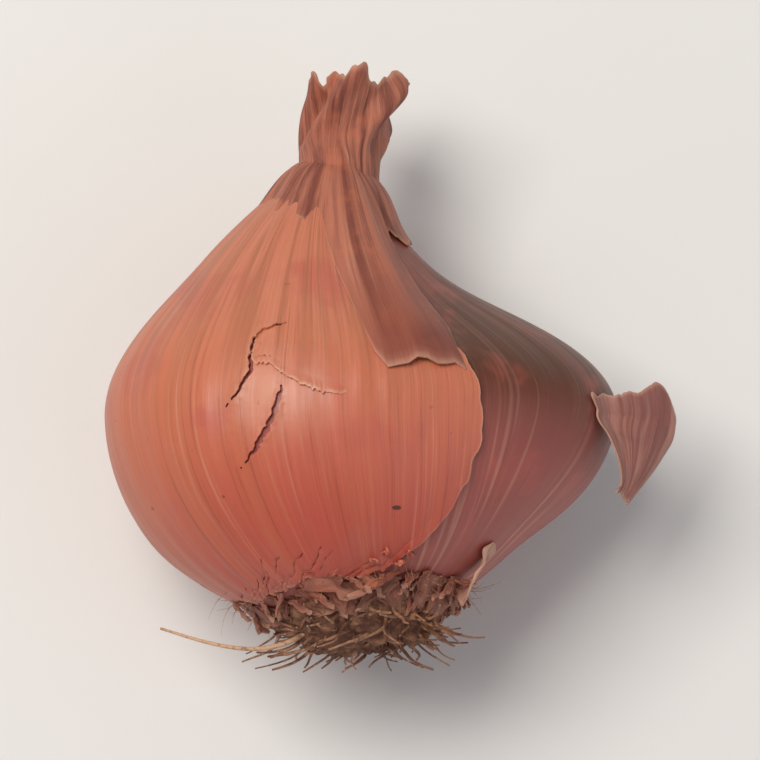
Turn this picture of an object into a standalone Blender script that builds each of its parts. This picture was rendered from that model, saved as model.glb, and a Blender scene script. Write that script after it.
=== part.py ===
"""One dried shallot lying on its side, at its real size in metres.

It is a double bulb: a large lobe on the left and a small one on the right, on one root plate.
The bulb's axis runs along Y, from the roots at -Y to the dry neck at +Y, and +Z is up.
The origin is in the flat spot that the bulb rests on.

A place on the bulb is given by two angles. along starts at the roots and reaches 180 degrees at the
tip under the neck. around starts at +X, the right side, and passes +Z, the top, at 90 degrees.
"""

import math
import random

import bmesh
import bpy
from mathutils import Matrix, Vector, noise

# The two lobes, each an ellipsoid, given by its middle, its half sizes and its lean to the right
LARGE_MIDDLE = Vector((-0.0036, -0.0002, 0.0))
LARGE_RADII = Vector((0.0188, 0.0172, 0.0174))
LARGE_LEAN = 0.0
SMALL_MIDDLE = Vector((0.0060, 0.0004, -0.0013))
SMALL_RADII = Vector((0.0158, 0.0112, 0.0148))
SMALL_LEAN = math.radians(-6)
VALLEY = 0.0014

# Above its middle the bulb narrows to a tip, which leans back over the large lobe
TIP_REACH = 0.0048
TIP_SHARPNESS = 5
SHOULDER_TAPER = 0.30
TIP_SHIFT = 0.0030
ROOT_SHIFT = 0.0010

LUMP_HEIGHT = 0.00045
LUMP_SIZE = 0.012

# The lowest part of the large lobe is pressed flat
AXIS_HEIGHT = 0.0165

BULB_SEGMENTS = 52
BULB_RINGS = 30

# The dry skins are thicker here than paper, and lie a little off what they cover
SKIN_GAP = 0.00036
SKIN_THICKNESS = 0.0006

# How often the bays and the small teeth of a torn edge follow each other
BAY_RATE = 4.0
TOOTH_RATE = 17.0

# Outer skin: its two long edges and its two ends. The right edge sweeps in from the left at the
# roots, follows the valley, and leans left again towards the neck
OUTER_SKIN_COLUMNS = 32
OUTER_SKIN_ROWS = 24
OUTER_SKIN_LEFT = math.radians(221)
OUTER_SKIN_RIGHT = math.radians(56)
OUTER_SKIN_SWEEP = math.radians(44)
SWEEP_RATE = 10.0
OUTER_SKIN_LEAN = math.radians(10)
LEAN_START = 0.4
LEAN_LENGTH = 0.5
OUTER_SKIN_FOOT_GAP = math.radians(4)
OUTER_SKIN_SHOULDER = math.radians(160)
OUTER_SKIN_CURL = 0.0007
CURL_WIDTH = 0.10
CURL_PLACE = 0.28
CURL_LENGTH = 0.3

# Loose skin: a flap on the small lobe's flank. Its left part lies on the bulb, it stands off further
# the further right it reaches, and it narrows to a free tip towards the roots
LOOSE_SKIN_COLUMNS = 14
LOOSE_SKIN_ROWS = 14
LOOSE_SKIN_HINGE = math.radians(20)
LOOSE_SKIN_SLANT = math.radians(12)
LOOSE_SKIN_SPAN = math.radians(22)
LOOSE_SKIN_HELD = 0.22
LOOSE_SKIN_FOOT = math.radians(76)
LOOSE_SKIN_TOP = math.radians(94)
LOOSE_SKIN_NARROW = 0.20
LOOSE_SKIN_WIDEST = 0.9
LOOSE_SKIN_PEEL = 0.0048
LOOSE_SKIN_ARCH = 0.0008
LOOSE_SKIN_TIP = 0.0030
LOOSE_SKIN_TIP_LENGTH = 0.8

# Root plate: a corky cap over the lower end, with a ragged rim, and the roots that stand on it
PLATE_SEGMENTS = 36
PLATE_RINGS = 14
PLATE_EDGE = math.radians(27)
PLATE_BIAS = math.radians(6)
PLATE_RAGGED = math.radians(3)
PLATE_THICKNESS = 0.0007
PLATE_MOUND = 0.0017
PLATE_ROUGHNESS = 0.5
PLATE_LUMPS_ROUND = 3
PLATE_LUMPS_INWARD = 9
PLATE_RISE_RATE = 1.6
ROOT_COUNT = 60
ROOT_RADIUS = 0.00038
ROOT_TAPER = 0.55
ROOT_LENGTH = 0.0044
ROOT_SHORTEST = 0.55
ROOT_LONGEST = 1.2
ROOT_STEPS = 5
ROOT_SPREAD = math.radians(21)
ROOT_SINK = 0.4
ROOT_SPLAY_MIDDLE = 0.20
ROOT_SPLAY_RIM = 0.75
ROOT_SPLAY_CHANCE = 0.15
ROOT_SPLAY_POWER = 1.4
ROOT_CURL = 0.7
ROOT_LEAST_TURN = 0.2
ROOT_MOST_TURN = 0.6
GOLDEN_ANGLE = math.radians(137.508)

# The one long root curves away to the left, through almost half a wave
LONG_ROOT_ALONG = math.radians(20)
LONG_ROOT_AROUND = math.radians(160)
LONG_ROOT_STEPS = 9
LONG_ROOT_REACH = 0.0128
LONG_ROOT_SAG = 0.0022
LONG_ROOT_RISE = 0.0012
LONG_ROOT_WAVE = 3.0
LONG_ROOT_SAG_POWER = 0.7

# Dry neck: a flattened, twisted stub that widens at its cut end, on a skirt over the shoulders
NECK_WIDTH = 0.0086
NECK_DEPTH = 0.0070
NECK_COLLAR = math.radians(165)
NECK_LENGTH = 0.0088
NECK_FLARE = 0.32
NECK_PLEATS = 5
NECK_FINE_PLEATS = 9
FINE_PLEAT_SHARE = 0.35
PLEAT_DEPTH = 0.16
PLEAT_START_RATE = 1.6
NECK_TWIST = math.radians(75)
NECK_BEND = 0.0014
NECK_CUP = 0.0030
CUP_RATE = 1.2
NECK_SEGMENTS = 60
NECK_RINGS = 26
RIM_WAVES = 2.2
RIM_UNEVENNESS = 0.22
STUB_ROOTING = 0.38
SKIRT_STANDOFF = 0.0014
SKIRT_EASE = math.radians(15)
SKIRT_EDGE = math.radians(147)
TONGUE_PLACE = math.radians(73)
TONGUE_SPREAD = math.radians(28)
TONGUE_BLUNTNESS = 1.9
TONGUE_DROP = math.radians(50)

# Shares of the neck's outline: it runs from the tip out under the skirt, turns at the skirt's edge,
# comes back over it to the collar, and goes up the stub and down into its cut end
UNDER_SKIRT = 0.28
SKIRT_TURN = 0.32
OVER_SKIRT = 0.54
UP_STUB = 0.84

# Edges sharper than this are drawn as edges
SHARP_ANGLE = math.radians(55)

BULB_COLOUR = (0.33, 0.10, 0.075)
OUTER_SKIN_COLOUR = (0.50, 0.16, 0.095)
LOOSE_SKIN_COLOUR = (0.42, 0.20, 0.16)
NECK_COLOUR = (0.36, 0.16, 0.10)
ROOT_COLOUR = (0.30, 0.16, 0.09)

SEED = 11


def mix(low, high, share):
    return low + (high - low) * share


def smooth(share):
    """0 to 1 with a soft start and end."""
    share = min(max(share, 0.0), 1.0)
    return share * share * (3 - 2 * share)


def bump(place, middle, half_width):
    """1 at the middle and soft down to 0 at half_width from it."""
    return smooth(1 - abs(place - middle) / half_width)


def torn(place, row, bays, teeth):
    """An uneven offset along a torn edge, with broad bays and small teeth of the sizes given."""
    broad = noise.noise(Vector((place * BAY_RATE, row, 0.0)))
    fine = noise.noise(Vector((place * TOOTH_RATE, row, 5.0)))
    return bays * broad + teeth * fine


def lobe_reach(direction, middle, radii, lean):
    """How far a lobe reaches from the bulb's middle in a direction."""
    turn = Matrix.Rotation(lean, 3, "Z")
    start = turn @ -middle
    ray = turn @ direction
    start = Vector((start.x / radii.x, start.y / radii.y, start.z / radii.z))
    ray = Vector((ray.x / radii.x, ray.y / radii.y, ray.z / radii.z))
    slant = start.dot(ray)
    square = ray.length_squared
    return (math.sqrt(slant * slant - square * (start.length_squared - 1)) - slant) / square


def bulb_surface(along, around):
    """The bulb's own surface: the lobes with a soft valley between them, drawn out to the tip."""
    rise = -math.cos(along)
    across = math.sin(along)
    direction = Vector((across * math.cos(around), rise, across * math.sin(around)))
    large = lobe_reach(direction, LARGE_MIDDLE, LARGE_RADII, LARGE_LEAN)
    small = lobe_reach(direction, SMALL_MIDDLE, SMALL_RADII, SMALL_LEAN)
    reach = VALLEY * math.log(math.exp(large / VALLEY) + math.exp(small / VALLEY))
    reach += LUMP_HEIGHT * noise.noise(direction * reach / LUMP_SIZE)
    point = direction * reach
    upper = max(rise, 0.0)
    narrow = 1 - SHOULDER_TAPER * smooth(upper)
    shift = ROOT_SHIFT * smooth(-rise) - TIP_SHIFT * smooth(upper)
    return Vector((
        point.x * narrow + shift,
        point.y + TIP_REACH * upper ** TIP_SHARPNESS,
        point.z * narrow + AXIS_HEIGHT,
    ))


def bulb_point(along, around, lift=0.0):
    """A point on the bulb, or lifted off it along the surface's own normal."""
    here = bulb_surface(along, around)
    if lift == 0.0:
        return here
    step = math.radians(1.0)
    if along > math.pi - step:
        return here + Vector((0, lift, 0))
    if along < step:
        return here - Vector((0, lift, 0))
    upward = bulb_surface(along + step, around) - bulb_surface(along - step, around)
    sideways = bulb_surface(along, around + step) - bulb_surface(along, around - step)
    return here + upward.cross(sideways).normalized() * lift


def material(name, colour, roughness):
    made = bpy.data.materials.new(name)
    made.use_nodes = True
    shader = made.node_tree.nodes["Principled BSDF"]
    shader.inputs["Base Color"].default_value = (*colour, 1.0)
    shader.inputs["Roughness"].default_value = roughness
    shader.inputs["Metallic"].default_value = 0.0
    return made


def face_outwards(shape):
    """Turns a closed bmesh the right way out, by the sign of its volume."""
    if shape.calc_volume(signed=True) < 0:
        bmesh.ops.reverse_faces(shape, faces=shape.faces)


def add_object(shape, name, finish, collection):
    """Turns a bmesh into a smooth shaded object of a collection."""
    mesh = bpy.data.meshes.new(name)
    shape.to_mesh(mesh)
    shape.free()
    mesh.shade_smooth()
    mesh.set_sharp_from_angle(angle=SHARP_ANGLE)
    made = bpy.data.objects.new(name, mesh)
    made.data.materials.append(finish)
    collection.objects.link(made)
    return made


def round_shape(segments, rings, place):
    """A ball moved to place(share, around), with share from 0 at its foot to 1 at its top."""
    shape = bmesh.new()
    bmesh.ops.create_uvsphere(shape, u_segments=segments, v_segments=rings, radius=1)
    for corner in shape.verts:
        share = math.acos(max(-1.0, min(1.0, -corner.co.z))) / math.pi
        around = math.atan2(corner.co.y, corner.co.x)
        corner.co = place(share, around)
    return shape


def tight_skin_place(share, around):
    """From the root end to the tip."""
    return bulb_point(math.pi * share, around)


def make_bulb(collection):
    """The fleshy body in its tight skin, flat where it rests."""
    shape = round_shape(BULB_SEGMENTS, BULB_RINGS, tight_skin_place)
    cut = bmesh.ops.bisect_plane(
        shape,
        geom=shape.verts[:] + shape.edges[:] + shape.faces[:],
        plane_co=Vector((0, 0, 0)),
        plane_no=Vector((0, 0, -1)),
        clear_outer=True,
    )
    rim = [piece for piece in cut["geom_cut"] if isinstance(piece, bmesh.types.BMEdge)]
    bmesh.ops.edgeloop_fill(shape, edges=rim)
    face_outwards(shape)
    skin = material("bulb_skin", BULB_COLOUR, 0.38)
    add_object(shape, "bulb", skin, collection)


def make_sheet(name, columns, rows, place, finish, collection):
    """A thin skin that follows place(across, up), each from 0 to 1, and is thickened outwards."""
    shape = bmesh.new()
    bmesh.ops.create_grid(shape, x_segments=columns, y_segments=rows, size=0.5)
    bmesh.ops.triangulate(shape, faces=shape.faces)
    for corner in shape.verts:
        corner.co = place(corner.co.x + 0.5, corner.co.y + 0.5)
    made = add_object(shape, name, finish, collection)
    wall = made.modifiers.new("wall", "SOLIDIFY")
    wall.thickness = SKIN_THICKNESS
    wall.offset = 1.0


def plate_edge(around):
    """Where the root plate ends: ragged, and further out on the left than on the right."""
    edge = PLATE_EDGE - PLATE_BIAS * math.cos(around)
    edge += torn(math.cos(around), 11.0, PLATE_RAGGED, math.radians(2))
    return edge + torn(math.sin(around), 12.0, PLATE_RAGGED, math.radians(2))


def outer_skin_place(across, up):
    """The old copper skin round the large lobe, from under its left side to a torn edge at the valley."""
    left_edge = OUTER_SKIN_LEFT + torn(up, 2.0, math.radians(8), math.radians(3))
    right_edge = OUTER_SKIN_RIGHT + torn(up, 1.0, math.radians(4), math.radians(2))
    right_edge += OUTER_SKIN_SWEEP * math.exp(-SWEEP_RATE * up)
    right_edge += OUTER_SKIN_LEAN * smooth((up - LEAN_START) / LEAN_LENGTH)
    around = mix(left_edge, right_edge, across)
    foot = plate_edge(around) + OUTER_SKIN_FOOT_GAP + torn(across, 3.0, math.radians(2), math.radians(1))
    shoulder = OUTER_SKIN_SHOULDER + torn(across, 4.0, math.radians(3), 0.0)
    curled = smooth(1 - (1 - across) / CURL_WIDTH) * bump(up, CURL_PLACE, CURL_LENGTH)
    lift = SKIN_GAP + OUTER_SKIN_CURL * curled
    return bulb_point(mix(foot, shoulder, up), around, lift)


def loose_skin_place(across, up):
    """A pale flap on the small lobe's flank, from its hinge on the left to its free right end."""
    width = mix(LOOSE_SKIN_NARROW, 1.0, smooth(up / LOOSE_SKIN_WIDEST))
    hinge = LOOSE_SKIN_HINGE - LOOSE_SKIN_SLANT * smooth(1 - up)
    hinge += torn(up, 6.0, math.radians(4), math.radians(1)) * (1 - across)
    foot = LOOSE_SKIN_FOOT + torn(across, 7.0, math.radians(4), math.radians(1))
    top = LOOSE_SKIN_TOP + torn(across, 8.0, math.radians(4), math.radians(1.5))
    free = (across - LOOSE_SKIN_HELD) / (1 - LOOSE_SKIN_HELD)
    lift = SKIN_GAP + LOOSE_SKIN_PEEL * width * smooth(free)
    lift += LOOSE_SKIN_ARCH * math.sin(math.pi * max(free, 0.0)) * width
    lift += LOOSE_SKIN_TIP * smooth(1 - up / LOOSE_SKIN_TIP_LENGTH)
    return bulb_point(mix(foot, top, up), hinge - LOOSE_SKIN_SPAN * across * width, lift)


def make_skins(collection):
    """The copper skin round the large lobe and the pale scrap on the small one."""
    copper = material("outer_skin", OUTER_SKIN_COLOUR, 0.42)
    pale = material("loose_skin", LOOSE_SKIN_COLOUR, 0.5)
    make_sheet("outer_skin", OUTER_SKIN_COLUMNS, OUTER_SKIN_ROWS, outer_skin_place, copper, collection)
    make_sheet("loose_skin", LOOSE_SKIN_COLUMNS, LOOSE_SKIN_ROWS, loose_skin_place, pale, collection)


def skirt_edge(around):
    """Where the neck's skirt ends: ragged, with one tongue that hangs down in the valley."""
    edge = SKIRT_EDGE
    edge += torn(math.cos(around), 9.0, math.radians(7), math.radians(2))
    edge += torn(math.sin(around), 10.0, math.radians(6), math.radians(2))
    tongue = min(1.0, TONGUE_BLUNTNESS * bump(around, TONGUE_PLACE, TONGUE_SPREAD))
    return edge - TONGUE_DROP * tongue


def neck_section(height, around):
    """A point of the stub in cross-section: flattened, pleated and turned further the higher it is."""
    share = height / NECK_LENGTH
    turned = around + NECK_TWIST * share
    pleats = math.cos(NECK_PLEATS * turned)
    pleats += FINE_PLEAT_SHARE * math.cos(NECK_FINE_PLEATS * turned + 1.0)
    size = (1 + NECK_FLARE * share * share) * (1 + PLEAT_DEPTH * pleats * smooth(share * PLEAT_START_RATE))
    flat = Vector((NECK_WIDTH / 2 * math.cos(turned), NECK_DEPTH / 2 * math.sin(turned)))
    turn_back = Matrix.Rotation(-NECK_TWIST * share, 2)
    return turn_back @ flat * size


def skirt_point(share, around):
    """The first part of the neck's outline: out under the skirt and back over it to the collar."""
    edge = skirt_edge(around)
    if share <= UNDER_SKIRT:
        along = mix(math.pi, edge, share / UNDER_SKIRT)
        standoff = mix(SKIN_GAP, SKIRT_STANDOFF, smooth((math.pi - along) / SKIRT_EASE))
        return bulb_point(along, around, standoff)
    back = max(0.0, (share - SKIRT_TURN) / (OVER_SKIRT - SKIRT_TURN))
    return bulb_point(mix(edge, NECK_COLLAR, back), around, SKIRT_STANDOFF + SKIN_THICKNESS)


def stub_point(share, around):
    """The rest of the neck's outline: up the stub to its uneven rim and down into its cut end."""
    collar = bulb_point(NECK_COLLAR, around, SKIRT_STANDOFF + SKIN_THICKNESS)
    tip = bulb_point(math.pi, 0.0)
    ring = Vector((RIM_WAVES * math.cos(around), RIM_WAVES * math.sin(around), 3.0))
    rim = NECK_LENGTH * (1 + RIM_UNEVENNESS * noise.noise(ring))
    height = rim * min(1.0, (share - OVER_SKIRT) / (UP_STUB - OVER_SKIRT))
    inward = max(0.0, (share - UP_STUB) / (1 - UP_STUB))
    section = neck_section(height, around) * (1 - inward)
    joined = smooth(height / (STUB_ROOTING * NECK_LENGTH))
    bent = NECK_BEND * smooth(height / NECK_LENGTH)
    return Vector((
        mix(collar.x, tip.x + section.x + bent, joined),
        mix(collar.y, tip.y, joined) + height - NECK_CUP * smooth(inward * CUP_RATE),
        mix(collar.z, AXIS_HEIGHT + section.y, joined),
    ))


def neck_point(share, around):
    """A point of the neck, with share from 0 at the tip to 1 in the middle of the cut end."""
    return skirt_point(share, around) if share <= OVER_SKIRT else stub_point(share, around)


def make_neck(collection):
    """The dried leaf bases, gathered and cut short, with the skirt that lies over the bulb's shoulders."""
    shape = round_shape(NECK_SEGMENTS, NECK_RINGS, neck_point)
    bmesh.ops.triangulate(shape, faces=shape.faces)
    face_outwards(shape)
    add_object(shape, "dry_neck", material("dry_neck", NECK_COLOUR, 0.6), collection)


def root_points(number, chance):
    """The centre line of one dry root: it leaves the plate, splays outwards and curls."""
    reach = math.sqrt((number + 0.5) / ROOT_COUNT)
    around = number * GOLDEN_ANGLE
    spread = ROOT_SPREAD - PLATE_BIAS * math.cos(around)
    start = bulb_point(spread * reach, around, ROOT_SINK * PLATE_MOUND)
    outward = Vector((math.cos(around), 0, math.sin(around)))
    sideways = Vector((-math.sin(around), 0, math.cos(around)))
    length = ROOT_LENGTH * chance.uniform(ROOT_SHORTEST, ROOT_LONGEST)
    splay = ROOT_SPLAY_MIDDLE + ROOT_SPLAY_RIM * reach
    splay += chance.uniform(-ROOT_SPLAY_CHANCE, ROOT_SPLAY_CHANCE)
    curl = chance.uniform(-ROOT_CURL, ROOT_CURL)
    turn_back = chance.uniform(ROOT_LEAST_TURN, ROOT_MOST_TURN)
    points = []
    for step in range(ROOT_STEPS):
        share = step / (ROOT_STEPS - 1)
        away = Vector((0, -length * (share - turn_back * splay * share * share), 0))
        aside = sideways * length * curl * share ** 2
        points.append(start + away + outward * length * splay * share ** ROOT_SPLAY_POWER + aside)
    return points


def long_root_points():
    """The one long root, which curves away to the left and back up."""
    start = bulb_point(LONG_ROOT_ALONG, LONG_ROOT_AROUND, ROOT_SINK * PLATE_MOUND)
    points = []
    for step in range(LONG_ROOT_STEPS):
        share = step / (LONG_ROOT_STEPS - 1)
        sag = LONG_ROOT_SAG * math.sin(LONG_ROOT_WAVE * share ** LONG_ROOT_SAG_POWER)
        rise = LONG_ROOT_RISE * math.sin(LONG_ROOT_WAVE * share)
        points.append(start + Vector((-LONG_ROOT_REACH * share, -sag, rise)))
    return points


def make_root(number, points, collection):
    """One root: a tapering tube along its points, closed and made a mesh."""
    name = f"root_{number}"
    line = bpy.data.curves.new(name, "CURVE")
    line.dimensions = "3D"
    line.bevel_depth = ROOT_RADIUS
    line.bevel_resolution = 0
    line.use_fill_caps = True
    spline = line.splines.new("POLY")
    spline.points.add(len(points) - 1)
    for index, point in enumerate(points):
        spline.points[index].co = (*point, 1)
        spline.points[index].radius = mix(1.0, ROOT_TAPER, index / (len(points) - 1))
    curve = bpy.data.objects.new(name, line)
    collection.objects.link(curve)
    graph = bpy.context.evaluated_depsgraph_get()
    mesh = bpy.data.meshes.new_from_object(curve.evaluated_get(graph))
    bpy.data.objects.remove(curve)
    shape = bmesh.new()
    shape.from_mesh(mesh)
    bmesh.ops.remove_doubles(shape, verts=shape.verts, dist=1e-6)
    bmesh.ops.recalc_face_normals(shape, faces=shape.faces)
    shape.to_mesh(mesh)
    shape.free()
    collection.objects.link(bpy.data.objects.new(name, mesh))


def plate_point(share, around):
    """Runs from the middle of the plate's inner side out to its rim and back over its outer side."""
    edge = plate_edge(around)
    if share <= 0.5:
        return bulb_point(edge * share / 0.5, around, SKIN_GAP)
    inward = (share - 0.5) / 0.5
    spot = Vector((
        PLATE_LUMPS_ROUND * math.cos(around),
        PLATE_LUMPS_ROUND * math.sin(around),
        PLATE_LUMPS_INWARD * inward,
    ))
    rough = 1 + PLATE_ROUGHNESS * noise.noise(spot)
    mound = PLATE_MOUND * smooth(inward * PLATE_RISE_RATE) * rough
    lift = SKIN_GAP + PLATE_THICKNESS + mound
    return bulb_point(edge * (1 - inward), around, lift)


def make_root_tuft(collection, loose):
    """The corky root plate with its dry roots, all grown together."""
    shape = round_shape(PLATE_SEGMENTS, PLATE_RINGS, plate_point)
    face_outwards(shape)
    plate = add_object(shape, "root_tuft", material("root_tuft", ROOT_COLOUR, 0.85), collection)
    chance = random.Random(SEED)
    for number in range(ROOT_COUNT):
        make_root(number, root_points(number, chance), loose)
    make_root(ROOT_COUNT, long_root_points(), loose)
    join = plate.modifiers.new("join", "BOOLEAN")
    join.operation = "UNION"
    join.operand_type = "COLLECTION"
    join.collection = loose
    join.solver = "EXACT"
    bpy.context.view_layer.objects.active = plate
    bpy.ops.object.modifier_apply(modifier=join.name)
    for piece in list(loose.objects):
        bpy.data.objects.remove(piece)


def main():
    for old in list(bpy.data.objects):
        bpy.data.objects.remove(old)
    shallot = bpy.data.collections.new("shallot")
    loose_roots = bpy.data.collections.new("loose_roots")
    bpy.context.scene.collection.children.link(shallot)
    bpy.context.scene.collection.children.link(loose_roots)
    make_bulb(shallot)
    make_skins(shallot)
    make_neck(shallot)
    make_root_tuft(shallot, loose_roots)


main()
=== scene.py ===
"""A dried double shallot lying on its side, dressed for rendering round its packed solids.

A place on the bulb is given by two angles, as in the part. along is 0 at the roots and 180 degrees at
the tip under the neck. around starts at +X, the right side, and passes +Z, the top, at 90 degrees.
Lengths are metres. Every piece lies where its solid lies, in the same frame.
"""

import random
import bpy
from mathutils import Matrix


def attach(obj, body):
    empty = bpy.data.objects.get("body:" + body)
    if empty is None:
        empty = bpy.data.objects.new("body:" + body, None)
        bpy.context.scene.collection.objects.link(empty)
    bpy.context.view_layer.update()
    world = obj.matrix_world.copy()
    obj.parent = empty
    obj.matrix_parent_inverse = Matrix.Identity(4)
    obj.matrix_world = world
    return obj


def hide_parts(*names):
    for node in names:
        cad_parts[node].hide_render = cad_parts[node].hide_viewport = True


bl_info = {
    "name": "Dried shallot",
    "version": (1, 0, 0),
    "blender": (4, 5, 0),
    "location": "View3D > Sidebar > Shallot",
    "description": "Models the skins, neck, roots and torn bits of a dried double shallot",
    "category": "Add Mesh",
}

from math import acos, atan2, copysign, cos, degrees, exp, log, pi, radians, sin, sqrt

import bmesh
import bpy
from bpy.props import FloatProperty, FloatVectorProperty, IntProperty, PointerProperty
from mathutils import Matrix, Vector, noise

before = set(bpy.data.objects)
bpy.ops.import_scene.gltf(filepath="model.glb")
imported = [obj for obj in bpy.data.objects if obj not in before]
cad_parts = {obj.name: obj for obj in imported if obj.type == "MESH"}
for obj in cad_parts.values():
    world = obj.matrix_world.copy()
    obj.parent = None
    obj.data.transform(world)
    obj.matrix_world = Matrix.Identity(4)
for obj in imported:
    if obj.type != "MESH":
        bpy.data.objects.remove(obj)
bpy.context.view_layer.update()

# The bulb's form, the same as the solid's
LARGE_MIDDLE = Vector((-0.0036, -0.0002, 0.0))
LARGE_RADII = Vector((0.0188, 0.0172, 0.0174))
LARGE_LEAN = 0.0
SMALL_MIDDLE = Vector((0.0060, 0.0004, -0.0013))
SMALL_RADII = Vector((0.0158, 0.0112, 0.0148))
SMALL_LEAN = radians(-6)
VALLEY = 0.0014
TIP_REACH = 0.0048
TIP_SHARPNESS = 5
SHOULDER_TAPER = 0.30
TIP_SHIFT = 0.0030
ROOT_SHIFT = 0.0010
LUMP_HEIGHT = 0.00045
LUMP_SIZE = 0.012
AXIS_HEIGHT = 0.0165
NORMAL_STEP = radians(1.0)

# The outlines of the skins, the same as the solids'
BAY_RATE = 4.0
TOOTH_RATE = 17.0
OUTER_SKIN_LEFT = radians(221)
OUTER_SKIN_RIGHT = radians(56)
OUTER_SKIN_SWEEP = radians(44)
SWEEP_RATE = 10.0
OUTER_SKIN_LEAN = radians(10)
LEAN_START = 0.4
LEAN_LENGTH = 0.5
OUTER_SKIN_FOOT_GAP = radians(4)
OUTER_SKIN_SHOULDER = radians(160)
SCRAP_HINGE = radians(20)
SCRAP_SLANT = radians(12)
SCRAP_SPAN = radians(22)
SCRAP_HELD = 0.22
SCRAP_FOOT = radians(76)
SCRAP_TOP = radians(94)
SCRAP_NARROW = 0.20
SCRAP_WIDEST = 0.9
SCRAP_PEEL = 0.0048
SCRAP_ARCH = 0.0008
SCRAP_TIP = 0.0030
SCRAP_TIP_LENGTH = 0.8

# The torn edges of the sheets, as (height of the bays, height of the teeth)
LEFT_TEAR = (radians(8), radians(3))
RIGHT_TEAR = (radians(4), radians(2))
FOOT_TEAR = (radians(2), radians(1))
SHOULDER_TEAR = (radians(3), 0.0)
SCRAP_HINGE_TEAR = (radians(3), radians(0.2))
SCRAP_END_TEAR = (radians(4), radians(0.3))
SKIRT_SIDE_TEAR = (radians(7), radians(2))
SKIRT_TOP_TEAR = (radians(6), radians(2))

# Finer teeth that only thin skin can have, as (rate, height)
RIGHT_TEETH = (35, radians(0.5))
RIGHT_NOTCHES = (150, radians(0.25))
FOOT_TEETH = (70, radians(1.6))
FLAKE_TEETH = (30, radians(1.3))
FLAKE_NOTCHES = (90, radians(0.6))
FLAKE_SIDE_TEETH = (30, radians(0.8))
SCRAP_TEETH = (45, radians(0.25))
SKIRT_TEETH = (9, radians(2.2))

# The neck and the root plate, the same as the solids'
NECK_WIDTH = 0.0086
NECK_DEPTH = 0.0070
NECK_COLLAR = radians(165)
NECK_LENGTH = 0.0088
NECK_FLARE = 0.32
NECK_PLEATS = 5
NECK_FINE_PLEATS = 9
FINE_PLEAT_SHARE = 0.35
PLEAT_DEPTH = 0.16
PLEAT_START_RATE = 1.6
NECK_TWIST = radians(75)
NECK_BEND = 0.0014
RIM_WAVES = 2.2
RIM_UNEVENNESS = 0.22
STUB_ROOTING = 0.38
SKIRT_EDGE = radians(147)
TONGUE_PLACE = radians(73)
TONGUE_SPREAD = radians(28)
TONGUE_BLUNTNESS = 1.9
TONGUE_DROP = radians(50)
PLATE_EDGE = radians(27)
PLATE_BIAS = radians(6)
PLATE_TEAR = (radians(3), radians(2))
PLATE_THICKNESS = 0.0007
PLATE_MOUND = 0.0017
PLATE_ROUGHNESS = 0.5
GOLDEN_ANGLE = radians(137.508)

LONG_ROOT_ALONG = radians(20)
LONG_ROOT_AROUND = radians(160)
LONG_ROOT_REACH = 0.0128
LONG_ROOT_SAG = 0.0022
LONG_ROOT_RISE = 0.0012
LONG_ROOT_WAVE = 3.0
LONG_ROOT_SAG_POWER = 0.7
ROOT_SINK = 0.4

# Real dry skin is thinner than the solids, and lies closer
PAPER = 0.00016
PAPER_GAP = 0.00018
TIGHT_SKIN_LIFT = 0.00001
SHARP_ANGLE = radians(60)

# Unevenness of the skins: heights, and rates round the bulb and along it
RIB_HEIGHT = 0.00008
RIB_RATES = (8, 0.8)
DENT_DEPTH = 0.00012
DENT_RATES = (2.6, 2.4)
SKIN_SWAY = 0.00010
SWAY_RATES = (14, 3)

# The outer skin's free right edge, as shares of its width, and the lips of its cracks
FREE_EDGE = 0.035
FINE_EDGE = 0.985
EDGE_WAVE_RATE = 7
EDGE_PALENESS = 0.6
EDGE_LIFT = 0.00022
LIP_LIFT = 0.00016
LIP_WIDTH = 0.0009
LIP_PALENESS = 0.3

# Cracks in the outer skin and the torn foot of its raised flake, as (around, along) in degrees
CRACKS = (
    ((112, 109), (119, 106), (121, 103), (121, 95), (124, 89), (129, 84)),
    ((112, 92), (114, 85), (117, 80), (121, 75), (127, 70)),
)
CRACK_WIDTH = 0.00026
CRACK_JAG = 0.00022
CRACK_JAG_RATE = 40
CRACK_OPENS = 6
CRACK_CLOSES = 2.2
CRACK_DETAIL = 0.6 * LIP_WIDTH
FLAKE_FOOT = ((121, 97), (116, 96), (110, 92), (104, 89), (98, 88), (91, 89))
FLAKE_TOP = radians(108)
FLAKE_SINKS = radians(98)
FLAKE_SINK_LENGTH = radians(7)
FLAKE_FADES = radians(105)
FLAKE_FADE_WIDTH = radians(12)
FLAKE_THICKNESS = 0.00020
FLAKE_CURL = 0.4
FLAKE_SINK = 1.6
FLAKE_PALENESS_RATE = 25
FINE_CUTS = 3

# The loose scrap's own unevenness
SCRAP_CURL = 0.0010
SCRAP_CURL_START = 0.84
SCRAP_CURL_WIDTH = 0.16
SCRAP_FURROWS = 0.00022
SCRAP_LEAST_LIFT = 0.00008

# The neck's papers: share of their height in the skirt, first angle, and what changes over the turns
SKIRT_SHARE = 0.42
NECK_START = radians(250)
SKIRT_TURNS = 1.35
SKIRT_FADE = 0.3
HIDDEN_SKIRT_EDGE = radians(170)
INNERMOST_COLLAR = radians(178)
INNERMOST_INSET = 0.80
INNER_SHORTER = 0.12
SKIRT_STANDOFF = (0.0009, 0.0004)
SKIRT_LEAST_LIFT = 0.0003
TONGUE_STANDOFF = 0.00105
COLLAR_LIFT = 0.0009
CREASE_HEIGHT = 0.00022
CREASE_SHARE = 0.6
CUT_TEETH = 0.07

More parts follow.
